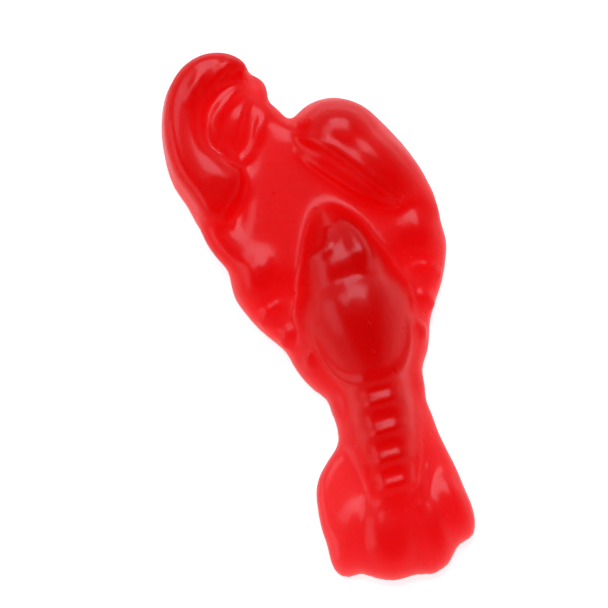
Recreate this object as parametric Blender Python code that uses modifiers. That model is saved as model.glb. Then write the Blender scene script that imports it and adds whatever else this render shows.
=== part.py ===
"""A moulded gummy lobster: one soft solid, lying on its flat back face with its head towards +Y.

The sizes below are millimetres. While the shape is made, y = 0 is the waist, where the shell meets the
tail, and z = 0 is the back face. At the end the solid is moved so that the origin is at the middle of
its box, on the back face.
"""

import math

import bmesh
import bpy
from mathutils import Matrix, Vector
from mathutils.bvhtree import BVHTree

MM = 0.001

# Shell: the back and the head are two domes with a soft groove between, as (y, half width, height).
BACK_STATIONS = (
    (-1.2, 3.0, 6.2),
    (0.8, 4.6, 8.2),
    (4.2, 6.1, 9.7),
    (8.0, 7.3, 10.4),
    (11.2, 7.3, 9.8),
    (13.6, 5.8, 7.8),
    (15.0, 3.0, 4.4),
)
HEAD_STATIONS = (
    (9.8, 2.6, 5.6),
    (11.6, 5.4, 8.6),
    (13.6, 6.0, 9.7),
    (16.0, 5.2, 9.2),
    (18.4, 4.3, 8.0),
    (20.6, 3.5, 6.4),
    (22.6, 2.4, 4.9),
    (24.4, 0.8, 3.0),
)
BACK_POWER, HEAD_POWER = 2.0, 2.3
# Low swellings that carry the shell and the tail down to the slabs, as (x, y, half width, half length, height).
BEDS = ((-0.3, 7.8, 8.9, 9.6, 5.6), (0.3, 17.6, 8.2, 10.6, 5.0), (0.0, -5.6, 5.6, 9.0, 4.6))
# The low skirt round the shell, as (y, half width) from the waist to the wrists.
SKIRT_STATIONS = (
    (-2.4, 5.4),
    (1.1, 6.0),
    (4.8, 7.7),
    (8.1, 9.6),
    (11.1, 11.6),
    (15.0, 13.1),
    (18.3, 13.2),
    (21.2, 12.4),
    (23.4, 9.0),
)
# The web that joins the claws in front of the head, as points round it, with its notch at the front.
WEB = (
    (-12.0, 17.0),
    (-10.0, 27.0),
    (-7.2, 34.0),
    (-4.6, 39.0),
    (-2.2, 37.6),
    (-0.8, 35.0),
    (0.5, 34.2),
    (3.6, 33.0),
    (8.6, 27.0),
    (12.0, 17.0),
)
SKIRT_HEIGHT, WEB_HEIGHT = 3.2, 4.3

# Head: the nose ridge and the brow that runs out from it, as (x, y, radius) along each.
NOSE = ((1.9, 12.6, 0.9), (1.9, 14.4, 1.7), (1.7, 17.2, 1.6), (1.0, 19.6, 1.1))
BROW = ((-4.2, 15.7, 0.6), (-3.0, 15.8, 0.9), (-1.5, 16.0, 1.0), (-0.8, 17.2, 0.9), (-0.5, 19.0, 0.6))
# Legs: low ridges that lie back on the skirt, as (x, y, radius) along each. Both sides have them.
LEGS = (
    ((8.2, 12.9, 0.8), (9.7, 12.4, 1.1), (11.0, 11.0, 0.8)),
    ((7.8, 9.5, 0.8), (8.6, 8.8, 1.0), (9.0, 7.7, 0.8)),
    ((6.4, 6.0, 0.7), (6.8, 5.3, 0.9), (6.9, 4.2, 0.7)),
)
# How deep the middle line of each ridge is sunk into the surface under it, as a share of its radius.
SINK = 0.5

# Tail: the core as (y, half width, height), with a flat top.
CORE_STATIONS = ((2.0, 4.0, 7.6), (-2.0, 4.0, 7.0), (-8.0, 3.7, 6.0), (-13.0, 3.2, 4.8), (-16.0, 2.6, 3.9))
CORE_POWER = 2.6
# The plates over it: half width, and the rise of their top over the core as (share of a step, rise) from
# the front of each ridge to its back.
PLATE_HALF_WIDTH = 3.9
PLATE_PROFILE = ((0.5, 0.1), (0.1, 0.55), (-0.14, -0.25))
RIDGE_ROWS, RIDGE_RISE = 4, 1.0
RIDGE_FIRST_Y, RIDGE_FIRST_STEP, RIDGE_STEP_RATIO = -3.4, 3.4, 0.94
RIDGE_TAPER = 0.05
# The raised rim round the back of the shell, as (x, y, radius).
SHELL_RIM = (
    (-5.8, 7.0, 0.4),
    (-4.8, 3.4, 0.7),
    (-3.1, 0.9, 0.8),
    (-0.6, 0.1, 0.9),
    (2.2, 0.5, 1.0),
    (4.2, 2.8, 0.8),
    (5.6, 6.4, 0.5),
)
# The flange and the fan's edge, as (y, left half width, right half width), and the points of its tip.
FLANGE_STATIONS = (
    (4.0, 4.0, 3.6),
    (0.0, 5.6, 5.0),
    (-2.6, 5.7, 5.6),
    (-4.9, 5.8, 6.1),
    (-6.8, 7.6, 6.4),
    (-9.0, 9.2, 7.0),
    (-12.5, 9.6, 8.0),
    (-15.7, 9.3, 8.4),
    (-18.4, 8.0, 7.6),
    (-20.5, 6.0, 6.6),
    (-22.2, 3.4, 5.0),
)
FLANGE_TIP = ((3.0, -23.4), (1.1, -22.8), (-1.0, -22.9))
FLANGE_HEIGHT = 2.1

# Tail fan: lobes as (middle x, middle y, half width, half length, height, splay in degrees).
FAN_LOBES = (
    (-1.3, -17.0, 4.4, 6.0, 4.3, 3.0),
    (3.4, -17.2, 2.7, 5.9, 4.0, 10.0),
    (6.1, -15.6, 2.5, 5.4, 3.5, 20.0),
    (-5.6, -15.4, 3.2, 6.0, 2.8, -20.0),
)
# The seam that runs from the side of the tail into the fan, as (x, y, radius).
SEAM = ((5.0, -8.6, 0.5), (4.3, -10.8, 0.8), (3.0, -13.2, 0.9), (2.2, -16.0, 0.8))

# Arms and claws. A claw is laid out from its wrist: x towards the body, y along it to the tip.
# Each claw is given as (wrist x, wrist y, turn inwards in degrees). The two differ in form.
CLAWS = {-1: (12.9, 24.6, 13.5), 1: (11.2, 19.4, 34.0)}
ARM_LUMP = (9.6, 17.2, 3.8, 5.2, 5.1, -14.0)
FOREARM_RADII = (2.6, 2.4, 2.4)
FOREARM_HEIGHT = 1.9
FOREARM_END_Y = 3.5
# The low slab of each claw, as (y, half width) from its wrist to its tip.
SLABS = {
    -1: (
        (-0.5, 1.6),
        (2.9, 3.7),
        (5.8, 5.4),
        (9.6, 6.3),
        (13.8, 6.5),
        (17.8, 5.6),
        (20.6, 3.4),
        (22.2, 0.0),
    ),
    1: (
        (-0.5, 2.4),
        (2.4, 3.9),
        (5.5, 5.1),
        (9.0, 5.8),
        (12.5, 6.1),
        (15.8, 5.6),
        (18.4, 3.9),
        (19.8, 0.0),
    ),
}
SLAB_HEIGHT = 3.4
# The crown of the left claw is the palm and the outer finger, curled round the inner finger to its tip.
CROWN = (
    (-0.8, -0.4),
    (-3.2, 3.0),
    (-5.1, 6.0),
    (-6.1, 10.0),
    (-6.1, 14.0),
    (-5.0, 17.8),
    (-2.6, 20.5),
    (0.6, 21.4),
    (3.6, 20.4),
    (4.6, 18.8),
    (2.6, 17.4),
    (0.0, 15.2),
    (-1.2, 12.6),
    (-0.8, 9.6),
    (1.0, 7.4),
    (3.4, 6.2),
    (3.6, 4.2),
    (2.4, 1.6),
    (0.8, -0.4),
)
CROWN_HEIGHT = 6.0
CROWN_EDGE = 2.0
# Domes on each claw, as (x, y, half width, half length, height).
DOMES = {
    -1: ((-0.2, 5.0, 3.2, 5.2, 6.4), (0.8, 12.6, 5.8, 8.8, 5.0)),
    1: ((0.0, 9.0, 5.4, 10.2, 7.3), (-0.3, 13.0, 5.9, 6.5, 7.5)),
}
# Fine ridges on each claw, as (x, y, radius): the rim and the vein of the left claw's inner finger, and
# the double lip of the right claw's.
LINES = {
    -1: (
        (
            (3.0, 7.0, 0.7),
            (0.9, 8.8, 0.9),
            (0.1, 11.6, 0.9),
            (1.2, 14.2, 0.9),
            (3.2, 16.6, 0.8),
            (5.2, 18.2, 0.8),
            (6.0, 15.6, 0.8),
            (5.7, 12.0, 0.8),
            (4.6, 8.8, 0.8),
            (3.0, 7.0, 0.7),
        ),
        ((2.3, 10.0, 0.5), (3.1, 12.8, 0.7), (4.4, 15.4, 0.5)),
    ),
    1: (
        ((3.2, 2.6, 0.7), (4.2, 6.4, 0.9), (4.5, 10.6, 0.9), (4.1, 14.4, 0.9), (2.6, 16.8, 0.7)),
    ),
}

# The tail swings a little to one side: past BEND_END_Y by the whole angle, and less nearer the waist.
BEND_START_Y, BEND_END_Y = 4.0, -6.0
BEND_DEG = 7.0

# The back face is dished a little where the sweet is thick, as (x, y, half width, half length).
DISH_DEPTH = 0.5
DISH_HEIGHT = 8.0
BODY_DISHES = ((0.0, 10.0, 8.0, 7.0), (0.0, -14.5, 5.4, 5.4))
CLAW_DISH = (0.0, 10.6, 3.6, 6.0)

# The block that cuts the back face flat.
BLOCK_SIZE = 200.0

# The share of a slab's height that its round edge takes, where no width is given for the edge, and how
# finely round shapes are made.
EDGE_SHARE = 0.7
LOFT_SIDES = 40
LUMP_SEGMENTS, LUMP_RINGS = 48, 24
CURVE_STEPS = 8
ROLL_BEVEL_STEPS, PLATE_BEVEL_STEPS = 4, 3
WELD_DIST = 0.001

# How finely the parts are melted together, and how far that blurs the large forms and the fine ones.
MELT_VOXEL = 0.42
MELT_FACTOR = 0.5
SOFT_BLUR, CRISP_BLUR = 1.05, 0.55
TRIANGLES = 9600
FLAT_TOLERANCE = 0.01

GEL_COLOUR = (0.82, 0.012, 0.018, 1.0)
GEL_ROUGHNESS = 0.28


def clear_scene():
    for obj in list(bpy.data.objects):
        bpy.data.objects.remove(obj)


class Place:
    """Turns a layout's own x and y into the sweet's: x runs inwards and y along the limb."""

    def __init__(self, side, origin=(0.0, 0.0), inward_deg=0.0):
        inward = math.radians(inward_deg)
        self.side = side
        self.origin = Vector((side * origin[0], origin[1]))
        self.along = Vector((-side * math.sin(inward), math.cos(inward)))
        self.inwards = Vector((-side * math.cos(inward), -math.sin(inward)))
        self.turn = side * inward

    def at(self, x, y):
        return self.origin + x * self.inwards + y * self.along

    def turned(self, degrees):
        """A turn about +Z that mirrors with the side."""
        return self.turn - self.side * math.radians(degrees)


def lump(centre, radii, turn=0.0):
    """An ellipsoid; centre and radii are in millimetres, and turn in radians about +Z."""
    bpy.ops.mesh.primitive_uv_sphere_add(segments=LUMP_SEGMENTS, ring_count=LUMP_RINGS, radius=1.0)
    obj = bpy.context.object
    size = Matrix.Diagonal((*(r * MM for r in radii), 1.0))
    place = Matrix.Translation(Vector(centre) * MM) @ Matrix.Rotation(turn, 4, "Z")
    obj.data.transform(place @ size)
    return obj


def mesh_from_curve(curve_obj):
    """The curve as a closed mesh object, with its caps welded. The curve is removed."""
    graph = bpy.context.evaluated_depsgraph_get()
    mesh = bpy.data.meshes.new_from_object(curve_obj.evaluated_get(graph))
    mesh.transform(curve_obj.matrix_world)
    shape = bmesh.new()
    shape.from_mesh(mesh)
    bmesh.ops.remove_doubles(shape, verts=shape.verts, dist=WELD_DIST * MM)
    bmesh.ops.recalc_face_normals(shape, faces=shape.faces)
    shape.to_mesh(mesh)
    shape.free()
    obj = bpy.data.objects.new(curve_obj.name + "_mesh", mesh)
    bpy.context.collection.objects.link(obj)
    bpy.data.objects.remove(curve_obj)
    return obj


def curve_object(name, points, cyclic):
    """A smooth curve object through the points, in millimetres."""
    data = bpy.data.curves.new(name, "CURVE")
    data.resolution_u = CURVE_STEPS
    spline = data.splines.new("BEZIER")
    spline.bezier_points.add(len(points) - 1)
    for knot, point in zip(spline.bezier_points, points):
        knot.co = Vector(point) * MM
        knot.handle_left_type = knot.handle_right_type = "AUTO"
    spline.use_cyclic_u = cyclic
    obj = bpy.data.objects.new(name, data)
    bpy.context.collection.objects.link(obj)
    return obj


def roll(points, radii):
    """A tapered round roll through the points, with its ends closed."""
    obj = curve_object("roll", points, cyclic=False)
    obj.data.dimensions = "3D"
    obj.data.bevel_depth = MM
    obj.data.bevel_resolution = ROLL_BEVEL_STEPS
    obj.data.use_fill_caps = True
    for knot, radius in zip(obj.data.splines[0].bezier_points, radii):
        knot.radius = radius
    return mesh_from_curve(obj)


def loft(stations, power):
    """A smooth closed body along y, from (y, half width, height). Above 2, power squares its oval."""
    guide = curve_object("loft", [(wide, y, high) for y, wide, high in stations], cyclic=False)
    graph = bpy.context.evaluated_depsgraph_get()
    samples = bpy.data.meshes.new_from_object(guide.evaluated_get(graph)).vertices
    bpy.data.objects.remove(guide)
    shape = bmesh.new()
    rings = []
    for wide, y, high in (v.co for v in samples):
        ring = []
        for n in range(LOFT_SIDES):
            angle = 2 * math.pi * n / LOFT_SIDES
            across, up = math.cos(angle), math.sin(angle)
            share = (abs(across) ** power + abs(up) ** power) ** (-1 / power)
            ring.append(shape.verts.new((share * wide * across, y, share * high * up)))
        rings.append(ring)
    for ring, after in zip(rings, rings[1:]):
        for n in range(LOFT_SIDES):
            side = (ring[n - 1], ring[n], after[n], after[n - 1])
            shape.faces.new(side)
    shape.faces.new(rings[0])
    shape.faces.new(rings[-1])
    bmesh.ops.recalc_face_normals(shape, faces=shape.faces)
    mesh = bpy.data.meshes.new("loft")
    shape.to_mesh(mesh)
    shape.free()
    obj = bpy.data.objects.new("loft", mesh)
    bpy.context.collection.objects.link(obj)
    return obj


def plate(outline, height, edge=None):
    """A flat slab inside the outline, from -height to height, with round edges."""
    obj = curve_object("plate", [(x, y, 0.0) for x, y in outline], cyclic=True)
    obj.data.dimensions = "2D"
    obj.data.fill_mode = "BOTH"
    edge = edge or height * EDGE_SHARE
    obj.data.bevel_depth = edge * MM
    obj.data.bevel_resolution = PLATE_BEVEL_STEPS
    obj.data.offset = -edge * MM
    obj.data.extrude = (height - edge) * MM
    return mesh_from_curve(obj)


def outline_of(stations, place):
    """Both sides of an outline, from half widths along y: down one side and back up the other."""
    one_side = [place.at(-width, y) for y, width in stations]
    other_side = [place.at(width, y) for y, width in reversed(stations) if width > 0.0]
    return one_side + other_side


class Surface:
    """The top of what is built so far, so that thin ridges lie on it."""

    def __init__(self, objects):
        shape = bmesh.new()
        for obj in objects:
            shape.from_mesh(obj.data)
        self.tree = BVHTree.FromBMesh(shape)
        shape.free()

    def height(self, x, y):
        above = Vector((x, y, BLOCK_SIZE)) * MM
        return self.tree.ray_cast(above, Vector((0.0, 0.0, -1.0)))[0].z / MM

    def ridge(self, place, line):
        """A roll along the surface, from points of the layout as (x, y, radius)."""
        path = []
        for x, y, radius in line:
            flat = place.at(x, y)
            path.append((*flat, self.height(*flat) - SINK * radius))
        return roll(path, [radius for x, y, radius in line])


def claw_place(side):
    wrist_x, wrist_y, inward_deg = CLAWS[side]
    return Place(side, (wrist_x, wrist_y), inward_deg)


def shell_and_skirt():
    """The two domes of the shell, the low skirt that the legs lie on and the web between the claws."""
    skirt = outline_of(SKIRT_STATIONS, Place(-1))
    parts = [loft(BACK_STATIONS, BACK_POWER), loft(HEAD_STATIONS, HEAD_POWER)]
    parts += [plate(skirt, SKIRT_HEIGHT), plate(WEB, WEB_HEIGHT)]
    for x, y, *radii in BEDS:
        parts.append(lump((x, y, 0.0), radii))
    return parts


def tail_and_fan():
    """The core of the tail, the flange and the lobes of the fan."""
    left_side = [(-left, y) for y, left, right in reversed(FLANGE_STATIONS)]
    right_side = [(right, y) for y, left, right in FLANGE_STATIONS]
    parts = [loft(CORE_STATIONS, CORE_POWER), plate((*left_side, *right_side, *FLANGE_TIP), FLANGE_HEIGHT)]
    for x, y, wide, long, high, splay in FAN_LOBES:
        parts.append(lump((x, y, 0.0), (wide, long, high), math.radians(splay)))
    return parts


def arm_and_claw(side):
    """One arm and its claw: a low slab with domes on it, and the left claw's crown."""
    body, claw = Place(side), claw_place(side)
    x, y, wide, long, high, turn = ARM_LUMP
    elbow = body.at(-x, y)
    parts = [lump((*elbow, 0.0), (wide, long, high), body.turned(turn))]
    path = [(*point, FOREARM_HEIGHT) for point in (elbow, claw.origin, claw.at(0.0, FOREARM_END_Y))]
    parts.append(roll(path, FOREARM_RADII))
    parts.append(plate(outline_of(SLABS[side], claw), SLAB_HEIGHT))
    for x, y, *radii in DOMES[side]:
        parts.append(lump((*claw.at(x, y), 0.0), radii, claw.turned(0.0)))
    if side < 0:
        parts.append(plate([claw.at(x, y) for x, y in CROWN], CROWN_HEIGHT, CROWN_EDGE))
    return parts


def tail_plates(surface):
    """A body along the tail's core whose top swells to each ridge and drops behind it."""
    stations = []
    y, step, size = RIDGE_FIRST_Y, RIDGE_FIRST_STEP, 1.0
    for row in range(RIDGE_ROWS):
        for share, rise in PLATE_PROFILE:
            at_y = y + share * step
            top = surface.height(0.0, at_y) + rise * RIDGE_RISE
            stations.append((at_y, size * PLATE_HALF_WIDTH, top))
        y -= step
        step *= RIDGE_STEP_RATIO
        size -= RIDGE_TAPER
    return loft(stations, CORE_POWER)


def legs(surface):
    parts = []
    for side in (-1, 1):
        for line in LEGS:
            parts.append(surface.ridge(Place(side), [(-x, y, radius) for x, y, radius in line]))
    return parts


def face_and_claw_lines(surface):
    """The nose, the brow and the rim of the shell, the seam by the fan, and the fine ridges of the claws."""
    parts = [surface.ridge(Place(-1), line) for line in (NOSE, BROW, SHELL_RIM, SEAM)]
    for side, lines in LINES.items():
        claw = claw_place(side)
        parts += [surface.ridge(claw, line) for line in lines]
    return parts


def melt(parts, blur):
    """The crossing parts as one object with a single soft skin. They are removed."""
    shape = bmesh.new()
    for part in parts:
        shape.from_mesh(part.data)
        bpy.data.objects.remove(part)
    mesh = bpy.data.meshes.new("melted")
    shape.to_mesh(mesh)
    shape.free()
    obj = bpy.data.objects.new("lobster", mesh)
    bpy.data.collections["gummy_lobster"].objects.link(obj)
    remesh = obj.modifiers.new("melt", "REMESH")
    remesh.mode = "VOXEL"
    remesh.voxel_size = MELT_VOXEL * MM
    soften = obj.modifiers.new("soften", "SMOOTH")
    soften.factor = MELT_FACTOR
    # On a grid, each pass of this factor adds a quarter of a voxel's square to the square of the blur.
    soften.iterations = round(4 * (blur / MELT_VOXEL) ** 2)
    apply_modifiers(obj)
    return obj


def apply_modifiers(obj):
    graph = bpy.context.evaluated_depsgraph_get()
    mesh = bpy.data.meshes.new_from_object(obj.evaluated_get(graph))
    obj.modifiers.clear()
    obj.data = mesh


def bent(point):
    """The point, in metres, moved sideways with the tail's swing."""
    past = max(0.0, BEND_START_Y * MM - point.y)
    soft = (BEND_START_Y - BEND_END_Y) * MM
    swing = past * past / (2 * soft) if past < soft else past - soft / 2
    return Vector((point.x - swing * math.tan(math.radians(BEND_DEG)), point.y, point.z))


def swing_tail(obj):
    for v in obj.data.vertices:
        v.co = bent(v.co)


def cutter(obj, name):
    """Keeps a cutting shape apart from the sweet and out of the render."""
    obj.name = name
    for home in list(obj.users_collection):
        home.objects.unlink(obj)
    bpy.data.collections["cutters"].objects.link(obj)
    obj.hide_render = True
    obj.display_type = "WIRE"
    return obj


def back_face_cutters():
    """A block under the back face, and the shallow dishes in it."""
    bpy.ops.mesh.primitive_cube_add(size=BLOCK_SIZE * MM, location=(0.0, 0.0, -BLOCK_SIZE / 2 * MM))
    block = bpy.context.object
    places = [(Place(-1), dish) for dish in BODY_DISHES]
    places += [(claw_place(side), CLAW_DISH) for side in (-1, 1)]
    cutters = [cutter(block, "back_block")]
    for n, (place, (x, y, wide, long)) in enumerate(places):
        # An ellipsoid sunk so that only a cap of the dish's depth and size stands above z = 0.
        grow = 1.0 / math.sqrt(1.0 - (1.0 - DISH_DEPTH / DISH_HEIGHT) ** 2)
        flat = bent(Vector((*place.at(x, y), 0.0)) * MM) / MM
        centre = (flat.x, flat.y, DISH_DEPTH - DISH_HEIGHT)
        bowl = lump(centre, (wide * grow, long * grow, DISH_HEIGHT), place.turned(0.0))
        cutters.append(cutter(bowl, f"back_dish_{n + 1}"))
    return cutters


def cut_and_thin(obj, cutters):
    """Cuts the back face and thins the mesh."""
    for tool in cutters:
        cut = obj.modifiers.new(tool.name, "BOOLEAN")
        cut.operation = "DIFFERENCE"
        cut.object = tool
        cut.solver = "EXACT"
    apply_modifiers(obj)
    thin = obj.modifiers.new("thin", "DECIMATE")
    thin.ratio = min(1.0, TRIANGLES / len(obj.data.loop_triangles))
    apply_modifiers(obj)


def settle(obj):
    """Puts the origin at the middle of the box, on the back face, and makes that face quite flat."""
    mesh = obj.data
    xs = [v.co.x for v in mesh.vertices]
    ys = [v.co.y for v in mesh.vertices]
    middle = Vector(((min(xs) + max(xs)) / 2, (min(ys) + max(ys)) / 2, 0.0))
    mesh.transform(Matrix.Translation(-middle))
    for v in mesh.vertices:
        if abs(v.co.z) < FLAT_TOLERANCE * MM:
            v.co.z = 0.0
    mesh.shade_smooth()


def gel():
    """Clear red gel with a soft gloss."""
    material = bpy.data.materials.new("red_gel")
    material.use_nodes = True
    shader = material.node_tree.nodes["Principled BSDF"]
    shader.inputs["Base Color"].default_value = GEL_COLOUR
    shader.inputs["Roughness"].default_value = GEL_ROUGHNESS
    shader.inputs["Metallic"].default_value = 0.0
    return material


def main():
    clear_scene()
    for name in ("gummy_lobster", "cutters"):
        bpy.context.scene.collection.children.link(bpy.data.collections.new(name))
    body = melt(shell_and_skirt() + tail_and_fan() + arm_and_claw(-1) + arm_and_claw(1), SOFT_BLUR)
    surface = Surface([body])
    relief = [*face_and_claw_lines(surface), *legs(surface), tail_plates(surface)]
    lobster = melt([body, *relief], CRISP_BLUR)
    swing_tail(lobster)
    cut_and_thin(lobster, back_face_cutters())
    settle(lobster)
    lobster.data.materials.append(gel())


main()
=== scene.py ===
"""A moulded gummy lobster in clear red gel, lying on its flat back face on a pale floor.

Sizes in the layouts are millimetres: y = 0 is the waist, where the shell meets the tail, the head lies
towards +Y, the left claw towards -X, and z = 0 is the back face. Settings are in metres.
"""

import math

import bpy
from bpy.props import FloatProperty, FloatVectorProperty, IntProperty, PointerProperty
from bpy.types import Operator, Panel, PropertyGroup
from mathutils import Matrix, Vector
from mathutils.bvhtree import BVHTree


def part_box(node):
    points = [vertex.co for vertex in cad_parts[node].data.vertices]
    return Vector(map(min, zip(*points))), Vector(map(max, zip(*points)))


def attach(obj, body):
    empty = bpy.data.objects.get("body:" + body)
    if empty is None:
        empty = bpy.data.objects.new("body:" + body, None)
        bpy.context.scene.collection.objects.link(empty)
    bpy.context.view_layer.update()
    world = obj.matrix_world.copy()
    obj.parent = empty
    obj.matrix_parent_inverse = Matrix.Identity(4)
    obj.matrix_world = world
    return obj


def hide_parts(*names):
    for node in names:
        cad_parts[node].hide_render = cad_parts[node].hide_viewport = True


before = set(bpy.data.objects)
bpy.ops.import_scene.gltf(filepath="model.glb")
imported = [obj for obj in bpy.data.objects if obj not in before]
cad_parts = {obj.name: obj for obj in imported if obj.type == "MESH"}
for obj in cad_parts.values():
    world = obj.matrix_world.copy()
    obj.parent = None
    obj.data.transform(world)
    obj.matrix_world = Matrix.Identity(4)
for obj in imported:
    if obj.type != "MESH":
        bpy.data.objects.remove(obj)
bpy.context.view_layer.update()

bl_info = {
    "name": "Gummy Lobster",
    "version": (1, 0, 0),
    "blender": (4, 5, 0),
    "location": "3D View > Sidebar > Gummy",
    "description": "Casts a red gummy lobster and its studio stage",
    "category": "Mesh",
}

MM = 0.001
NODE = "lobster"
PIECE = "gummy_lobster"
SLOT = "red_gel"

# Shell: the back and the head are two domes with a soft groove between, as (y, half width, height).
BACK_STATIONS = (
    (-1.2, 3.0, 6.2),
    (0.8, 4.6, 8.2),
    (4.2, 6.1, 9.7),
    (8.0, 7.3, 10.4),
    (11.2, 7.3, 9.8),
    (13.6, 5.8, 7.8),
    (15.0, 3.0, 4.4),
)
HEAD_STATIONS = (
    (9.8, 2.6, 5.6),
    (11.6, 5.4, 8.6),
    (13.6, 6.0, 9.7),
    (16.0, 5.2, 9.2),
    (18.4, 4.3, 8.0),
    (20.6, 3.5, 6.4),
    (22.6, 2.4, 4.9),
    (24.4, 0.8, 3.0),
)
# The power of each body's oval section: 2 is a plain oval, and more squares it.
BACK_POWER, HEAD_POWER, CORE_POWER = 2.0, 2.3, 2.6
# Low swellings under the shell and the tail, as (x, y, half width, half length, height).
BEDS = ((-0.3, 7.8, 8.9, 9.6, 5.6), (0.3, 17.6, 8.2, 10.6, 5.0), (0.0, -5.6, 5.6, 9.0, 4.6))
# The low skirt round the shell, as (y, half width) from the waist to the wrists.
SKIRT_STATIONS = (
    (-2.4, 5.4),
    (1.1, 6.0),
    (4.8, 7.7),
    (8.1, 9.6),
    (11.1, 11.6),
    (15.0, 13.1),
    (18.3, 13.2),
    (21.2, 12.4),
    (23.4, 9.0),
)
# The web that joins the claws in front of the head, as points round it, with its notch at the front.
WEB = (
    (-12.0, 17.0),
    (-10.0, 27.0),
    (-7.2, 34.0),
    (-4.6, 39.0),
    (-2.2, 37.6),
    (-0.8, 35.0),
    (0.5, 34.2),
    (3.6, 33.0),
    (8.6, 27.0),
    (12.0, 17.0),
)

# Head: the nose ridge and the brow that runs out from it, as (x, y, radius) along each.
NOSE = ((1.9, 12.6, 0.9), (1.9, 14.4, 1.7), (1.7, 17.2, 1.6), (1.0, 19.6, 1.1))
BROW = ((-4.2, 15.7, 0.6), (-3.0, 15.8, 0.9), (-1.5, 16.0, 1.0), (-0.8, 17.2, 0.9), (-0.5, 19.0, 0.6))
# Legs: low ridges that lie back on the skirt, as (x, y, radius) along each. Both sides have them.
LEGS = (
    ((8.2, 12.9, 0.8), (9.7, 12.4, 1.1), (11.0, 11.0, 0.8)),
    ((7.8, 9.5, 0.8), (8.6, 8.8, 1.0), (9.0, 7.7, 0.8)),
    ((6.4, 6.0, 0.7), (6.8, 5.3, 0.9), (6.9, 4.2, 0.7)),
)
# How deep the middle line of each ridge is sunk into the surface under it, as a share of its radius.
SINK = 0.5

# Tail: the core as (y, half width, height).
CORE_STATIONS = ((2.0, 4.0, 7.6), (-2.0, 4.0, 7.0), (-8.0, 3.7, 6.0), (-13.0, 3.2, 4.8), (-16.0, 2.6, 3.9))
# The plates over it: the first one's half width, and each plate's top over the core as (share of a step,
# share of the ridge rise) from the front of its ridge to its back.
PLATE_HALF_WIDTH = 3.9
PLATE_PROFILE = ((0.5, 0.1), (0.12, 0.6), (-0.16, -0.3))
# Where the first ridge lies, the step to the next one, what each later step is of the one before it, and
# how much narrower each plate is than the one before it, as a share of the first.
RIDGE_FIRST_Y, RIDGE_FIRST_STEP, RIDGE_STEP_RATIO = -3.4, 3.4, 0.94
RIDGE_TAPER = 0.05
# The raised rim round the back of the shell, as (x, y, radius).
SHELL_RIM = (
    (-5.8, 7.0, 0.4),
    (-4.8, 3.4, 0.7),
    (-3.1, 0.9, 0.8),
    (-0.6, 0.1, 0.9),
    (2.2, 0.5, 1.0),
    (4.2, 2.8, 0.8),
    (5.6, 6.4, 0.5),
)
# The flange and the fan's edge, as (y, left half width, right half width), and the points of its tip.
FLANGE_STATIONS = (
    (4.0, 4.0, 3.6),
    (0.0, 5.6, 5.0),
    (-2.6, 5.7, 5.6),
    (-4.9, 5.8, 6.1),
    (-6.8, 7.6, 6.4),
    (-9.0, 9.2, 7.0),
    (-12.5, 9.6, 8.0),
    (-15.7, 9.3, 8.4),
    (-18.4, 8.0, 7.6),
    (-20.5, 6.0, 6.6),
    (-22.2, 3.4, 5.0),
)
FLANGE_TIP = ((3.0, -23.4), (1.1, -22.8), (-1.0, -22.9))
# Tail fan: lobes as (middle x, middle y, half width, half length, height, splay in degrees).
FAN_LOBES = (
    (-1.3, -17.0, 4.4, 6.0, 4.3, 3.0),
    (3.4, -17.2, 2.7, 5.9, 4.0, 10.0),
    (6.1, -15.6, 2.5, 5.4, 3.5, 20.0),
    (-5.6, -15.4, 3.2, 6.0, 2.8, -20.0),
)
# The seam that runs from the side of the tail into the fan, as (x, y, radius).
SEAM = ((5.0, -8.6, 0.5), (4.3, -10.8, 0.8), (3.0, -13.2, 0.9), (2.2, -16.0, 0.8))

# Arms and claws. A claw is laid out from its wrist: x towards the body, y along it to the tip.
# Each claw is given as (wrist x, wrist y, turn inwards in degrees) under its side, -1 for the left one at
# -X and 1 for the right one at +X. The two differ in form.
CLAWS = {-1: (12.9, 24.6, 13.5), 1: (11.2, 19.4, 34.0)}
# The swelling of each arm, as (x, y, half width, half length, height, turn in degrees).
ARM_LUMP = (9.6, 17.2, 3.8, 5.2, 5.1, -14.0)
# The forearm: its radii at the swelling, at the wrist and at its end in the claw, the height of its middle
# line, and how far past the wrist it ends.
FOREARM_RADII = (2.6, 2.4, 2.4)
FOREARM_HEIGHT = 1.9
FOREARM_END_Y = 3.5
# The low slab of each claw, as (y, half width) from its wrist to its tip.
SLABS = {
    -1: (
        (-0.5, 1.6),
        (2.9, 3.7),
        (5.8, 5.4),
        (9.6, 6.3),
        (13.8, 6.5),
        (17.8, 5.6),
        (20.6, 3.4),
        (22.2, 0.0),
    ),
    1: (
        (-0.5, 2.4),
        (2.4, 3.9),
        (5.5, 5.1),
        (9.0, 5.8),
        (12.5, 6.1),
        (15.8, 5.6),
        (18.4, 3.9),
        (19.8, 0.0),
    ),
}
# The crown of the left claw is the palm and the outer finger, curled round the inner finger to its tip. It
# is given as points round it and the radius of its edge.
CROWN = (
    (-0.8, -0.4),
    (-3.2, 3.0),
    (-5.1, 6.0),
    (-6.1, 10.0),
    (-6.1, 14.0),
    (-5.0, 17.8),
    (-2.6, 20.5),
    (0.6, 21.4),
    (3.6, 20.4),
    (4.6, 18.8),
    (2.6, 17.4),
    (0.0, 15.2),
    (-1.2, 12.6),
    (-0.8, 9.6),
    (1.0, 7.4),
    (3.4, 6.2),
    (3.6, 4.2),
    (2.4, 1.6),
    (0.8, -0.4),
)
CROWN_EDGE = 2.0
# Domes on each claw, as (x, y, half width, half length, height).
DOMES = {
    -1: ((-0.2, 5.0, 3.2, 5.2, 6.4), (0.8, 12.6, 5.8, 8.8, 5.0)),
    1: ((0.0, 9.0, 5.4, 10.2, 7.3), (-0.3, 13.0, 5.9, 6.5, 7.5)),
}
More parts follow.
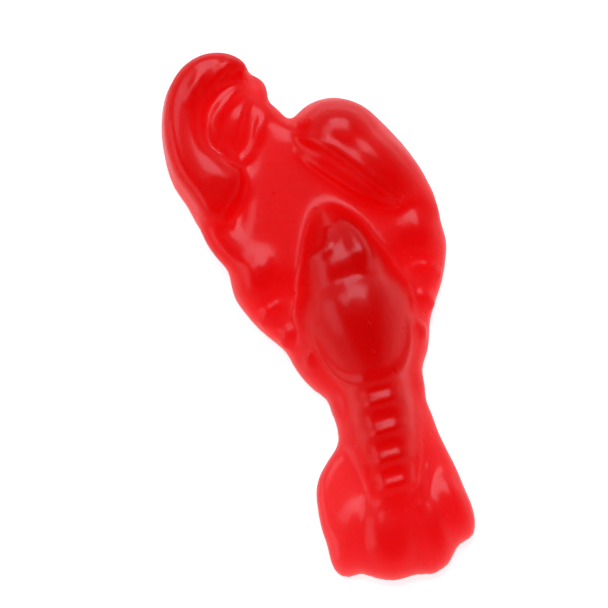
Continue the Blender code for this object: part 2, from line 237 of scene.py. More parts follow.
# Fine ridges on each claw, as (x, y, radius): the rim and the vein of the left claw's inner finger with
# two streaks on its outer one, and the two lips of the right claw.
LINES = {
    -1: (
        (
            (3.0, 7.0, 0.7),
            (0.9, 8.8, 0.9),
            (0.1, 11.6, 0.9),
            (1.2, 14.2, 0.9),
            (3.2, 16.6, 0.8),
            (5.2, 18.2, 0.8),
            (6.0, 15.6, 0.8),
            (5.7, 12.0, 0.8),
            (4.6, 8.8, 0.8),
            (3.0, 7.0, 0.7),
        ),
        ((2.3, 10.0, 0.5), (3.1, 12.8, 0.7), (4.4, 15.4, 0.5)),
        ((-3.0, 14.3, 0.5), (-2.1, 16.4, 0.9), (-1.2, 18.4, 0.5)),
        ((0.1, 17.1, 0.5), (1.3, 18.6, 0.9), (2.3, 19.9, 0.5)),
    ),
    1: (
        ((1.2, 2.4, 0.6), (1.5, 5.6, 0.9), (1.5, 9.7, 1.0), (1.9, 13.9, 0.9), (2.9, 17.2, 0.6)),
        ((1.6, 1.8, 0.5), (3.1, 5.9, 0.8), (3.5, 8.9, 0.9), (3.9, 12.9, 0.8), (4.2, 16.0, 0.5)),
    ),
}

# The tail swings a little to one side: from BEND_START_Y on more and more, and past BEND_END_Y by the
# whole angle.
BEND_START_Y, BEND_END_Y = 4.0, -6.0

# The back face is dished a little where the sweet is thick, as (x, y, half width, half length). Each dish
# is cut by the cap of an ellipsoid of half height DISH_HEIGHT.
BODY_DISHES = ((0.0, 10.0, 8.0, 7.0), (0.0, -14.5, 5.4, 5.4))
CLAW_DISH = (0.0, 10.6, 3.6, 6.0)
DISH_HEIGHT = 8.0

# The furthest that the cast sweet may lie from its place in the frame before it settles there.
SETTLE_LIMIT = 20.0

# The radius of a plate's edge, as a share of the plate's height, where no radius is given.
EDGE_SHARE = 0.7
# How finely the forms are drawn before they melt together.
LOFT_SIDES = 40
LUMP_SEGMENTS, LUMP_RINGS = 48, 24
CURVE_STEPS = 8
ROLL_BEVEL_STEPS, PLATE_BEVEL_STEPS = 4, 3
# The side of the block that cuts the back face flat, and how high up the rays that find a surface start.
BLOCK_SIZE = 200.0
RAY_START = 200.0
# Points of one form that lie closer together than this are merged.
WELD_DIST = 0.001
# On a grid, each smoothing pass of this factor adds a quarter of a voxel's square to the square of the
# blur, so the blur in voxels, squared, takes this many times as many passes.
MELT_FACTOR, MELT_PASSES = 0.5, 4

# The gel's patterns: about how many of their patches or cells lie along a metre, and the noises' detail.
CLOUD_SCALE, CLOUD_DETAIL = 110.0, 2.0
DULL_SCALE, DULL_DETAIL = 260.0, 3.0
RIPPLE_SCALE, RIPPLE_DETAIL = 900.0, 3.0
PIT_SCALE = 420.0
# A pit's wall runs from its floor to its rim, at these distances from its middle, as shares of a cell.
PIT_FLOOR, PIT_RIM = 0.04, 0.12
# How far the skin has to face up, where 1 is straight up, for the gloss to begin and to be whole, and how
# much the clouds shift that.
GLOSS_START, GLOSS_WHOLE = 0.6, 0.85
GLOSS_DRIFT = 0.2

# From here on sizes are metres. Between the flat back and the floor is a hair's breadth of air.
FLOOR_GAP = 0.0001
FLOOR_SIZE = 4.0
FLOOR_ROUGHNESS, FLOOR_SPECULAR = 0.6, 0.1
# Softboxes, as (name, azimuth and elevation in degrees, distance, width, height, share of the radiance).
SOFTBOXES = (
    ("left_softbox", -34.0, 50.0, 0.5, 0.16, 0.2, 0.6),
    ("right_softbox", 14.0, 49.0, 0.5, 0.36, 0.27, 1.0),
    ("side_softbox", -78.0, 22.0, 0.5, 0.4, 0.24, 0.32),
)
# The tent's light falls from the horizon's to the zenith's between these heights of the direction that it
# comes from, where 0 is level and 1 is straight up.
TENT_START, TENT_END = 0.1, 0.8
# The camera's sensor in millimetres, as its lens is, and the nearest that it sees.
SENSOR_WIDTH = 36.0
CLIP_START = 0.01


class GummyForm(PropertyGroup):
    """Heights and finish of the cast shape."""

    skirt_height: FloatProperty(
        name="Skirt Height",
        description="Thickness of the skirt under the legs",
        default=0.0032,
        unit="LENGTH",
    )
    web_height: FloatProperty(
        name="Web Height",
        description="Thickness of the web between the claws",
        default=0.0043,
        unit="LENGTH",
    )
    flange_height: FloatProperty(
        name="Flange Height",
        description="Thickness of the thin tail flange",
        default=0.0021,
        unit="LENGTH",
    )
    slab_height: FloatProperty(
        name="Slab Height",
        description="Thickness of the low slab of each claw",
        default=0.0034,
        unit="LENGTH",
    )
    crown_height: FloatProperty(
        name="Crown Height",
        description="Height of the left claw's outer finger",
        default=0.006,
        unit="LENGTH",
    )
    ridge_rows: IntProperty(
        name="Tail Ridges",
        description="Number of ridges across the tail",
        default=4,
        min=1,
    )
    ridge_rise: FloatProperty(
        name="Ridge Rise",
        description="Scale of the rise and fall of the tail's plates over its core",
        default=0.001,
        unit="LENGTH",
    )
    tail_swing: FloatProperty(
        name="Tail Swing",
        description="Angle by which the tail swings aside",
        default=math.radians(7.0),
        subtype="ANGLE",
    )
    dish_depth: FloatProperty(
        name="Dish Depth",
        description="Depth of the shallow dishes in the back",
        default=0.0005,
        unit="LENGTH",
    )
    melt_voxel: FloatProperty(
        name="Melt Voxel",
        description="Grid size at which the forms melt together",
        default=0.00026,
        unit="LENGTH",
    )
    soft_blur: FloatProperty(
        name="Soft Blur",
        description="Rounding of the large forms",
        default=0.0011,
        unit="LENGTH",
    )
    crisp_blur: FloatProperty(
        name="Crisp Blur",
        description="Rounding of the fine ridges",
        default=0.00046,
        unit="LENGTH",
    )
    rim_blur: FloatProperty(
        name="Rim Blur",
        description="Rounding of the rim of the back face",
        default=0.00024,
        unit="LENGTH",
    )


class GummyGel(PropertyGroup):
    """Colour and surface of the gel."""

    tint: FloatVectorProperty(
        name="Tint",
        description="Red of the gel's skin",
        default=(0.98, 0.24, 0.225),
        subtype="COLOR",
    )
    cloudy_tint: FloatVectorProperty(
        name="Cloudy Tint",
        description="Red where the skin is cloudier",
        default=(0.95, 0.18, 0.18),
        subtype="COLOR",
    )
    depth_tint: FloatVectorProperty(
        name="Depth Tint",
        description="Colour that light takes inside",
        default=(0.95, 0.1, 0.18),
        subtype="COLOR",
    )
    depth_density: FloatProperty(
        name="Depth Density",
        description="How fast the gel darkens with its thickness, per metre",
        default=1130.0,
    )
    refraction: FloatProperty(
        name="Refraction",
        description="Refractive index of the gel, set low for a soft and even depth",
        default=1.2,
    )
    clear_roughness: FloatProperty(
        name="Clear Roughness",
        description="Roughness where the gel is clearest",
        default=0.36,
        subtype="FACTOR",
    )
    cloudy_roughness: FloatProperty(
        name="Cloudy Roughness",
        description="Roughness where the gel is cloudiest",
        default=0.5,
        subtype="FACTOR",
    )
    sheen: FloatProperty(
        name="Sheen",
        description="Strength of the soft sheen",
        default=1.0,
        subtype="FACTOR",
    )
    gloss: FloatProperty(
        name="Gloss",
        description="Strength of the glossy skin on top",
        default=0.55,
        subtype="FACTOR",
    )
    wall_gloss: FloatProperty(
        name="Wall Gloss",
        description="Strength of the glossy skin on steep walls",
        default=0.06,
        subtype="FACTOR",
    )
    gloss_roughness: FloatProperty(
        name="Gloss Roughness",
        description="Roughness of the glossy skin",
        default=0.19,
        subtype="FACTOR",
    )
    gloss_refraction: FloatProperty(
        name="Gloss Refraction",
        description="Refractive index of the glossy skin",
        default=1.45,
    )
    ripple_depth: FloatProperty(
        name="Ripple Depth",
        description="Depth of the faint ripples in the skin",
        default=0.00006,
        unit="LENGTH",
    )
    pit_depth: FloatProperty(
        name="Pit Depth",
        description="Depth of the small pits in the skin",
        default=0.00012,
        unit="LENGTH",
    )


class GummyStage(PropertyGroup):
    """Camera, light and floor."""

    view_azimuth: FloatProperty(
        name="View Azimuth",
        description="Camera heading, from +Y towards +X",
        default=math.radians(16.0),
        subtype="ANGLE",
    )
    view_elevation: FloatProperty(
        name="View Elevation",
        description="How steeply the camera looks down",
        default=math.radians(76.0),
        subtype="ANGLE",
    )
    frame_width: FloatProperty(
        name="Frame Width",
        description="Width of the view at the sweet",
        default=0.073,
        unit="LENGTH",
    )
    target: FloatVectorProperty(
        name="Target",
        description="Point in the middle of the frame",
        default=(-0.004, 0.0005, 0.003),
        subtype="TRANSLATION",
    )
    lens: FloatProperty(
        name="Lens",
        description="Focal length in millimetres",
        default=180.0,
        unit="CAMERA",
    )
    floor_colour: FloatVectorProperty(
        name="Floor Colour",
        description="Colour of the pale floor",
        default=(0.94, 0.94, 0.94),
        subtype="COLOR",
    )
    floor_glow: FloatProperty(
        name="Floor Glow",
        description="Strength of the white light that the floor itself gives",
        default=0.78,
    )
    light_colour: FloatVectorProperty(
        name="Light Colour",
        description="Cool white of the softboxes and the tent",
        default=(0.84, 0.88, 1.0),
        subtype="COLOR",
    )
    softbox_radiance: FloatProperty(
        name="Softbox Radiance",
        description="Brightness of the strongest softbox",
        default=3.8,
    )
    horizon_light: FloatProperty(
        name="Horizon Light",
        description="Light of the tent from low all round",
        default=0.4,
    )
    zenith_light: FloatProperty(
        name="Zenith Light",
        description="Light of the tent from straight above",
        default=0.025,
    )


def deselect_all():
    if bpy.context.object and bpy.context.object.mode != "OBJECT":
        bpy.ops.object.mode_set(mode="OBJECT")
    bpy.ops.object.select_all(action="DESELECT")


def activate(obj):
    deselect_all()
    obj.select_set(True)
    bpy.context.view_layer.objects.active = obj


def apply_modifiers(obj):
    activate(obj)
    for modifier in list(obj.modifiers):
        bpy.ops.object.modifier_apply(modifier=modifier.name)


class Place:
    """Turns a layout's own x and y into the sweet's: x runs inwards and y along the limb.

    A plain Place(-1) leaves them as they are, and a plain Place(1) mirrors x.
    """

    def __init__(self, side, origin=(0.0, 0.0), inward_deg=0.0):
        inward = math.radians(inward_deg)
        self.side = side
        self.origin = Vector((side * origin[0], origin[1]))
        self.along = Vector((-side * math.sin(inward), math.cos(inward)))
        self.inwards = Vector((-side * math.cos(inward), -math.sin(inward)))
        self.turn = side * inward

    def at(self, x, y):
        return self.origin + x * self.inwards + y * self.along

    def turned(self, degrees):
        """A turn about +Z that mirrors with the side."""
        return self.turn - self.side * math.radians(degrees)


def claw_place(side):
    wrist_x, wrist_y, inward_deg = CLAWS[side]
    return Place(side, (wrist_x, wrist_y), inward_deg)


def lump(centre, radii, turn=0.0):
    """An ellipsoid; centre and radii are in millimetres, and turn in radians about +Z."""
    deselect_all()
    bpy.ops.mesh.primitive_uv_sphere_add(
        segments=LUMP_SEGMENTS,
        ring_count=LUMP_RINGS,
        radius=MM,
        location=Vector(centre) * MM,
        rotation=(0.0, 0.0, turn),
        scale=radii,
    )
    bpy.ops.object.transform_apply(location=True, rotation=True, scale=True)
    return bpy.context.object


def curve_object(name, points, cyclic):
    """A smooth curve object through the points, in millimetres."""
    data = bpy.data.curves.new(name, "CURVE")
    data.resolution_u = CURVE_STEPS
    spline = data.splines.new("BEZIER")
    spline.bezier_points.add(len(points) - 1)
    for knot, point in zip(spline.bezier_points, points):
        knot.co = Vector(point) * MM
        knot.handle_left_type = knot.handle_right_type = "AUTO"
    spline.use_cyclic_u = cyclic
    obj = bpy.data.objects.new(name, data)
    bpy.context.collection.objects.link(obj)
    return obj


def solid_from_curve(curve):
    """The curve as a closed mesh, with its caps welded and its faces pointing out."""
    activate(curve)
    bpy.ops.object.convert(target="MESH")
    bpy.ops.object.mode_set(mode="EDIT")
    bpy.ops.mesh.select_all(action="SELECT")
    bpy.ops.mesh.remove_doubles(threshold=WELD_DIST * MM)
    bpy.ops.mesh.normals_make_consistent(inside=False)
    bpy.ops.object.mode_set(mode="OBJECT")
    return bpy.context.object


def roll(points, radii):
    """A tapered round roll through the points, with its ends closed."""
    curve = curve_object("roll", points, cyclic=False)
    curve.data.dimensions = "3D"
    curve.data.bevel_depth = MM
    curve.data.bevel_resolution = ROLL_BEVEL_STEPS
    curve.data.use_fill_caps = True
    for knot, radius in zip(curve.data.splines[0].bezier_points, radii):
        knot.radius = radius
    return solid_from_curve(curve)


def plate(outline, height, edge=None):
    """A flat slab inside the outline, from -height to height, with its edges rounded to the radius edge."""
    curve = curve_object("plate", [(x, y, 0.0) for x, y in outline], cyclic=True)
    curve.data.dimensions = "2D"
    curve.data.fill_mode = "BOTH"
    edge = edge or height * EDGE_SHARE
    curve.data.bevel_depth = edge * MM
    curve.data.bevel_resolution = PLATE_BEVEL_STEPS
    curve.data.offset = -edge * MM
    curve.data.extrude = (height - edge) * MM
    return solid_from_curve(curve)


def smooth_stations(stations):
    """The stations with more between them, on a curve through them all."""
    guide = curve_object("stations", [(wide, y, high) for y, wide, high in stations], cyclic=False)
    activate(guide)
    bpy.ops.object.convert(target="MESH")
    samples = [v.co.copy() for v in bpy.context.object.data.vertices]
    bpy.data.objects.remove(bpy.context.object)
    return samples


def loft(stations, power):
    """A closed body along y: an oval of this power extruded from station to station."""
    samples = smooth_stations(stations)
    deselect_all()
    wide, y, high = samples[0]
    bpy.ops.mesh.primitive_circle_add(
        vertices=LOFT_SIDES,
        radius=1.0,
        fill_type="NGON",
        location=(0.0, y, 0.0),
        rotation=(math.radians(90.0), 0.0, 0.0),
    )
    for v in bpy.context.object.data.vertices:
        v.co /= (abs(v.co.x) ** power + abs(v.co.y) ** power) ** (1 / power)
    bpy.context.object.scale = (wide, high, 1.0)
    bpy.ops.object.transform_apply(location=True, rotation=True, scale=True)
    bpy.ops.object.mode_set(mode="EDIT")
    bpy.ops.mesh.select_all(action="SELECT")
    for before, after in zip(samples, samples[1:]):
        bpy.ops.mesh.extrude_region_move(TRANSFORM_OT_translate={"value": (0.0, after.y - before.y, 0.0)})
        bpy.ops.transform.resize(
            value=(after.x / before.x, 1.0, after.z / before.z), center_override=(0.0, after.y, 0.0)
        )
    bpy.ops.mesh.select_all(action="SELECT")
    bpy.ops.mesh.normals_make_consistent(inside=False)
    bpy.ops.object.mode_set(mode="OBJECT")
    return bpy.context.object


def outline_of(stations, place):
    """Both sides of an outline, from half widths along y: down one side and back up the other."""
    one_side = [place.at(-width, y) for y, width in stations]
    other_side = [place.at(width, y) for y, width in reversed(stations) if width > 0.0]
    return one_side + other_side


def melt(parts, voxel, blur):
    """The crossing parts as one object with a single soft skin."""
    activate(parts[0])
    for part in parts:
        part.select_set(True)
    bpy.ops.object.join()
    obj = bpy.context.object
    remesh = obj.modifiers.new("melt", "REMESH")
    remesh.mode = "VOXEL"
    remesh.voxel_size = voxel
    soften = obj.modifiers.new("soften", "SMOOTH")
    soften.factor = MELT_FACTOR
    soften.iterations = round(MELT_PASSES * (blur / voxel) ** 2)
    apply_modifiers(obj)
    return obj


class Surface:
    """The top of what is built so far, so that thin ridges lie on it."""

    def __init__(self, obj):
        self.tree = BVHTree.FromObject(obj, bpy.context.evaluated_depsgraph_get())

    def height(self, x, y):
        above = Vector((x, y, RAY_START)) * MM
        return self.tree.ray_cast(above, Vector((0.0, 0.0, -1.0)))[0].z / MM

    def ridge(self, place, line):
        """A roll along the surface, from points of the layout as (x, y, radius)."""
        path = []
        for x, y, radius in line:
            flat = place.at(x, y)
            path.append((*flat, self.height(*flat) - SINK * radius))
        return roll(path, [radius for x, y, radius in line])


def shell_and_skirt(form):
    """The two domes of the shell, the low skirt that the legs lie on and the web between the claws."""
    skirt = outline_of(SKIRT_STATIONS, Place(-1))
    parts = [loft(BACK_STATIONS, BACK_POWER), loft(HEAD_STATIONS, HEAD_POWER)]
    parts += [plate(skirt, form.skirt_height / MM), plate(WEB, form.web_height / MM)]
    for x, y, *radii in BEDS:
        parts.append(lump((x, y, 0.0), radii))
    return parts


def tail_and_fan(form):
    """The core of the tail, the flange and the lobes of the fan."""
    left_side = [(-left, y) for y, left, right in reversed(FLANGE_STATIONS)]
    right_side = [(right, y) for y, left, right in FLANGE_STATIONS]
    flange = (*left_side, *right_side, *FLANGE_TIP)
    parts = [loft(CORE_STATIONS, CORE_POWER), plate(flange, form.flange_height / MM)]
    for x, y, wide, long, high, splay in FAN_LOBES:
        parts.append(lump((x, y, 0.0), (wide, long, high), math.radians(splay)))
    return parts


def arm_and_claw(form, side):
    """One arm and its claw: a low slab with domes on it, and the left claw's crown."""
    body, claw = Place(side), claw_place(side)
    x, y, wide, long, high, turn = ARM_LUMP
    elbow = body.at(-x, y)
    parts = [lump((*elbow, 0.0), (wide, long, high), body.turned(turn))]
    path = [(*point, FOREARM_HEIGHT) for point in (elbow, claw.origin, claw.at(0.0, FOREARM_END_Y))]
    parts.append(roll(path, FOREARM_RADII))
    parts.append(plate(outline_of(SLABS[side], claw), form.slab_height / MM))
    for x, y, *radii in DOMES[side]:
        parts.append(lump((*claw.at(x, y), 0.0), radii, claw.turned(0.0)))
    if side < 0:
        parts.append(plate([claw.at(x, y) for x, y in CROWN], form.crown_height / MM, CROWN_EDGE))
    return parts


def tail_plates(form, surface):
    """A body along the tail's core whose top swells to each ridge and drops behind it."""
    stations = []
    y, step, size = RIDGE_FIRST_Y, RIDGE_FIRST_STEP, 1.0
    for _ in range(form.ridge_rows):
        for share, rise in PLATE_PROFILE:
            at_y = y + share * step
            top = surface.height(0.0, at_y) + rise * form.ridge_rise / MM
            stations.append((at_y, size * PLATE_HALF_WIDTH, top))
        y -= step
        step *= RIDGE_STEP_RATIO
        size -= RIDGE_TAPER
    return loft(stations, CORE_POWER)


def fine_ridges(surface):
    """The nose, the brow, the shell's rim, the seam by the fan, the legs and the claws' fine ridges."""
    parts = [surface.ridge(Place(-1), line) for line in (NOSE, BROW, SHELL_RIM, SEAM)]
    for side in (-1, 1):
        parts += [surface.ridge(Place(side), [(-x, y, radius) for x, y, radius in line]) for line in LEGS]
        parts += [surface.ridge(claw_place(side), line) for line in LINES[side]]
    return parts


def bent(point, swing_angle):
    """The point, in metres, moved sideways with the tail's swing."""
    past = max(0.0, BEND_START_Y * MM - point.y)
    soft = (BEND_START_Y - BEND_END_Y) * MM
    swing = past * past / (2 * soft) if past < soft else past - soft / 2
    return Vector((point.x - swing * math.tan(swing_angle), point.y, point.z))


def back_face_cutters(form):
    """A block under the back face, and the shallow dishes in it."""
    deselect_all()
    bpy.ops.mesh.primitive_cube_add(size=BLOCK_SIZE * MM, location=(0.0, 0.0, -BLOCK_SIZE / 2 * MM))
    bpy.ops.object.transform_apply(location=True, rotation=True, scale=True)
    cutters = [bpy.context.object]
    places = [(Place(-1), dish) for dish in BODY_DISHES]
    places += [(claw_place(side), CLAW_DISH) for side in (-1, 1)]
    depth = form.dish_depth / MM
    for place, (x, y, wide, long) in places:
        # An ellipsoid sunk so that only a cap of the dish's depth and size stands above z = 0.
        grow = 1.0 / math.sqrt(1.0 - (1.0 - depth / DISH_HEIGHT) ** 2)
        flat = bent(Vector((*place.at(x, y), 0.0)) * MM, form.tail_swing) / MM
        centre = (flat.x, flat.y, depth - DISH_HEIGHT)
        cutters.append(lump(centre, (wide * grow, long * grow, DISH_HEIGHT), place.turned(0.0)))
    return cutters


def cut_back(obj, cutters):
    """Cuts the cutters out of the object, and removes them."""
    for n, tool in enumerate(cutters):
        cut = obj.modifiers.new(f"cut_{n}", "BOOLEAN")
        cut.operation = "DIFFERENCE"
        cut.object = tool
        cut.solver = "EXACT"
    apply_modifiers(obj)
    for tool in cutters:
        bpy.data.objects.remove(tool)


def settle(obj):
    """Moves the sweet so that its box has the middle and the floor of its CAD node's box."""
    low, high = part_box(NODE)
    corners = [obj.matrix_world @ Vector(corner) for corner in obj.bound_box]
    least = Vector([min(corner[k] for corner in corners) for k in range(3)])
    most = Vector([max(corner[k] for corner in corners) for k in range(3)])
    shift = (low + high - least - most) / 2
    shift.z = low.z - least.z
    if shift.length > SETTLE_LIMIT * MM:
        raise RuntimeError("The sweet is far from its place: was its back face cut?")
    obj.data.transform(Matrix.Translation(shift))


class Link:
    """A shader output that takes part in sums as a number would."""

    def __init__(self, shader, socket):
        self.shader = shader
        self.socket = socket

    def math(self, operation, *values):
        return self.shader.node("ShaderNodeMath", {"operation": operation}, *values)["Value"]

    def __add__(self, other):
        return self.math("ADD", self, other)

    def __radd__(self, other):
        return self.math("ADD", other, self)

    def __sub__(self, other):
        return self.math("SUBTRACT", self, other)

    def __rsub__(self, other):
        return self.math("SUBTRACT", other, self)

    def __mul__(self, other):
        return self.math("MULTIPLY", self, other)

    def __rmul__(self, other):
        return self.math("MULTIPLY", other, self)


class Shader:
    """One node tree, with a single method that adds its nodes."""

    def __init__(self, owner):
        owner.use_nodes = True
        self.tree = owner.node_tree

    def node(self, kind, settings=None, *values, **named):
        """Adds a node with its settings, then feeds its sockets in order, or by name. Returns its outputs.

        Only the sockets that its settings leave in use are counted.
        """
        node = self.tree.nodes.new(kind)
        for name, value in (settings or {}).items():
            setattr(node, name, value)
        sockets = list(zip([socket for socket in node.inputs if socket.enabled], values))
        sockets += [(node.inputs[name], value) for name, value in named.items()]
        for socket, value in sockets:
            self.feed(socket, value)
        return {output.name: Link(self, output) for output in node.outputs if output.enabled}

    def feed(self, socket, value):
        if isinstance(value, Link):
            self.tree.links.new(value.socket, socket)
        else:
            socket.default_value = value

    def mix(self, share, first, second):
        """Two colours mixed by a share."""
        return self.node("ShaderNodeMix", {"data_type": "RGBA"}, share, first, second)["Result"]

    def ease(self, value, start, end, first, last):
        """Goes softly from first to last as the value goes from start to end, and stays there past them."""
        settings = {"interpolation_type": "SMOOTHSTEP"}
        return self.node("ShaderNodeMapRange", settings, value, start, end, first, last)["Result"]


def red_gel(gel):
    """Clear red gel: tinted and darker with depth, with a skin of uneven gloss, faint ripples and pits."""
    material = bpy.data.materials.new(SLOT)
    shader = Shader(material)
    coordinates = shader.node("ShaderNodeTexCoord")
    position = coordinates["Object"]

    def noise(scale, detail):
        return shader.node("ShaderNodeTexNoise", None, Vector=position, Scale=scale, Detail=detail)["Fac"]

    clouds = noise(CLOUD_SCALE, CLOUD_DETAIL)
    dull = noise(DULL_SCALE, DULL_DETAIL)
    ripples = noise(RIPPLE_SCALE, RIPPLE_DETAIL)
    cells = shader.node("ShaderNodeTexVoronoi", None, Vector=position, Scale=PIT_SCALE)["Distance"]
    outside_pits = shader.ease(cells, PIT_FLOOR, PIT_RIM, 0.0, 1.0)

    principled = shader.tree.nodes["Principled BSDF"]
    tints = ((*gel.tint, 1.0), (*gel.cloudy_tint, 1.0))
    shader.feed(principled.inputs["Base Color"], shader.mix(clouds, *tints))
    spread = gel.cloudy_roughness - gel.clear_roughness
    shader.feed(principled.inputs["Roughness"], dull * spread + gel.clear_roughness)
    for socket, value in (
        ("IOR", gel.refraction),
        ("Transmission Weight", 1.0),
        ("Specular IOR Level", gel.sheen),
        ("Coat Roughness", gel.gloss_roughness),
        ("Coat IOR", gel.gloss_refraction),
    ):
        principled.inputs[socket].default_value = value
    facing_up = shader.node("ShaderNodeSeparateXYZ", None, coordinates["Normal"])["Z"]
    drifting = facing_up + (clouds - 0.5) * GLOSS_DRIFT
    gloss = shader.ease(drifting, GLOSS_START, GLOSS_WHOLE, gel.wall_gloss, gel.gloss)
    shader.feed(principled.inputs["Coat Weight"], gloss)
    height = ripples * gel.ripple_depth + outside_pits * gel.pit_depth
    bump = shader.node("ShaderNodeBump", None, Height=height, Strength=1.0, Distance=1.0)["Normal"]
    shader.feed(principled.inputs["Normal"], bump)
    absorbed = {"Color": (*gel.depth_tint, 1.0), "Density": gel.depth_density}
    depth = shader.node("ShaderNodeVolumeAbsorption", None, **absorbed)["Volume"]
    shader.feed(shader.tree.nodes["Material Output"].inputs["Volume"], depth)
    return material


class GUMMY_OT_cast_forms(Operator):
    """Cast the shell, tail, arms and claws as one soft body"""

    bl_idname = "gummy.cast_forms"
    bl_label = "Cast Large Forms"

    def execute(self, context):
        form = context.scene.gummy_form
        parts = shell_and_skirt(form) + tail_and_fan(form) + arm_and_claw(form, -1) + arm_and_claw(form, 1)
        body = melt(parts, form.melt_voxel, form.soft_blur)
        if not body.data.polygons:
            raise RuntimeError("The large forms melted to nothing")
        body.name = PIECE
        return {"FINISHED"}


class GUMMY_OT_cast_relief(Operator):
    """Lay the tail ridges, legs, face and claw ridges on the body and melt them in"""

    bl_idname = "gummy.cast_relief"
    bl_label = "Cast Relief"

    def execute(self, context):
        form = context.scene.gummy_form
        body = bpy.data.objects[PIECE]
        surface = Surface(body)
        melt([body, *fine_ridges(surface), tail_plates(form, surface)], form.melt_voxel, form.crisp_blur)
        return {"FINISHED"}


class GUMMY_OT_trim_back(Operator):
    """Swing the tail, cut the back flat with its dishes and set the sweet in its place"""

    bl_idname = "gummy.trim_back"
    bl_label = "Trim Back"

    def execute(self, context):
        form = context.scene.gummy_form
        body = bpy.data.objects[PIECE]
        for v in body.data.vertices:
            v.co = bent(v.co, form.tail_swing)
        cut_back(body, back_face_cutters(form))
        melt([body], form.melt_voxel, form.rim_blur)
        settle(body)
        activate(body)
        bpy.ops.object.shade_smooth()
        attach(body, "root")
        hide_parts(NODE)
        return {"FINISHED"}


class GUMMY_OT_pour_gel(Operator):
    """Give the sweet its clear red gel"""

    bl_idname = "gummy.pour_gel"
    bl_label = "Pour Gel"

    def execute(self, context):
        body = bpy.data.objects[PIECE]
        body.data.materials.clear()
        body.data.materials.append(red_gel(context.scene.gummy_gel))
        return {"FINISHED"}


def add_floor(stage):
    """A wide pale floor that glows a little, so that it shows white."""
    deselect_all()
    bpy.ops.mesh.primitive_plane_add(size=FLOOR_SIZE, location=(0.0, 0.0, -FLOOR_GAP))
    floor = bpy.context.object
    floor.name = "floor"
    material = bpy.data.materials.new("pale_floor")
    principled = Shader(material).tree.nodes["Principled BSDF"]
    principled.inputs["Base Color"].default_value = (*stage.floor_colour, 1.0)
    principled.inputs["Roughness"].default_value = FLOOR_ROUGHNESS
    principled.inputs["Specular IOR Level"].default_value = FLOOR_SPECULAR
    principled.inputs["Emission Color"].default_value = (1.0, 1.0, 1.0, 1.0)
    principled.inputs["Emission Strength"].default_value = stage.floor_glow
    floor.data.materials.append(material)


def add_light_tent(stage):
    """Light all round, bright low down and dark straight above."""
    world = bpy.data.worlds.new("light_tent")
    bpy.context.scene.world = world
    shader = Shader(world)
    direction = shader.node("ShaderNodeTexCoord")["Generated"]
    up = shader.node("ShaderNodeSeparateXYZ", None, direction)["Z"]
    strength = shader.ease(up, TENT_START, TENT_END, stage.horizon_light, stage.zenith_light)
    background = shader.tree.nodes["Background"]
    background.inputs["Color"].default_value = (*stage.light_colour, 1.0)
    shader.feed(background.inputs["Strength"], strength)


def direction_of(azimuth, elevation):
    """The direction at an azimuth from +Y towards +X and an elevation."""
    flat = math.cos(elevation)
    return Vector((math.sin(azimuth) * flat, math.cos(azimuth) * flat, math.sin(elevation)))


def add_softbox(name, azimuth_deg, elevation_deg, distance, width, height, radiance, colour):
    """A softbox that faces the origin. An area lamp's power is its radiance times pi times its area."""
    towards = direction_of(math.radians(azimuth_deg), math.radians(elevation_deg))
    bpy.ops.object.light_add(type="AREA", location=towards * distance)
    lamp = bpy.context.object
    lamp.name = name
    lamp.rotation_euler = (-towards).to_track_quat("-Z", "Y").to_euler()
    lamp.data.shape = "RECTANGLE"
    lamp.data.size = width
    lamp.data.size_y = height
    lamp.data.energy = radiance * math.pi * width * height
    lamp.data.color = colour
    lamp.visible_camera = False


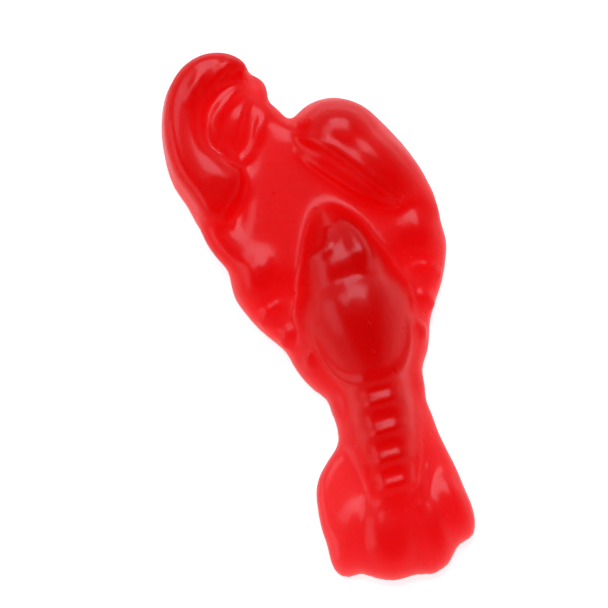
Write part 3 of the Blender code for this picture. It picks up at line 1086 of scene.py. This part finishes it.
def add_camera(stage):
    """A camera that looks at the target from where frame_width fills its view."""
    look = direction_of(stage.view_azimuth, -stage.view_elevation)
    distance = stage.frame_width * stage.lens / SENSOR_WIDTH
    bpy.ops.object.camera_add(location=Vector(stage.target) - look * distance)
    camera = bpy.context.object
    camera.rotation_euler = look.to_track_quat("-Z", "Y").to_euler()
    camera.data.sensor_width = SENSOR_WIDTH
    camera.data.lens = stage.lens
    camera.data.clip_start = CLIP_START
    bpy.context.scene.camera = camera


class GUMMY_OT_set_stage(Operator):
    """Set the pale floor, the soft light and the camera"""

    bl_idname = "gummy.set_stage"
    bl_label = "Set Stage"

    def execute(self, context):
        stage = context.scene.gummy_stage
        add_floor(stage)
        add_light_tent(stage)
        for name, *place_and_size, share in SOFTBOXES:
            add_softbox(name, *place_and_size, share * stage.softbox_radiance, stage.light_colour)
        add_camera(stage)
        context.scene.view_settings.view_transform = "Standard"
        return {"FINISHED"}


class GUMMY_PT_panel(Panel):
    """Lists the steps and the settings of the gummy lobster"""

    bl_label = "Gummy Lobster"
    bl_space_type = "VIEW_3D"
    bl_region_type = "UI"
    bl_category = "Gummy"

    def draw(self, context):
        for operator in OPERATORS:
            self.layout.operator(operator.bl_idname)
        for settings in (context.scene.gummy_form, context.scene.gummy_gel, context.scene.gummy_stage):
            box = self.layout.box()
            for name in settings.__annotations__:
                box.prop(settings, name)


OPERATORS = (
    GUMMY_OT_cast_forms,
    GUMMY_OT_cast_relief,
    GUMMY_OT_trim_back,
    GUMMY_OT_pour_gel,
    GUMMY_OT_set_stage,
)
CLASSES = (GummyForm, GummyGel, GummyStage, *OPERATORS, GUMMY_PT_panel)


def register():
    for cls in CLASSES:
        bpy.utils.register_class(cls)
    bpy.types.Scene.gummy_form = PointerProperty(type=GummyForm)
    bpy.types.Scene.gummy_gel = PointerProperty(type=GummyGel)
    bpy.types.Scene.gummy_stage = PointerProperty(type=GummyStage)


def unregister():
    for name in ("gummy_form", "gummy_gel", "gummy_stage"):
        delattr(bpy.types.Scene, name)
    for cls in reversed(CLASSES):
        bpy.utils.unregister_class(cls)


def main():
    register()
    bpy.ops.gummy.cast_forms()
    bpy.ops.gummy.cast_relief()
    bpy.ops.gummy.trim_back()
    bpy.ops.gummy.pour_gel()
    bpy.ops.gummy.set_stage()


if __name__ == "__main__":
    main()
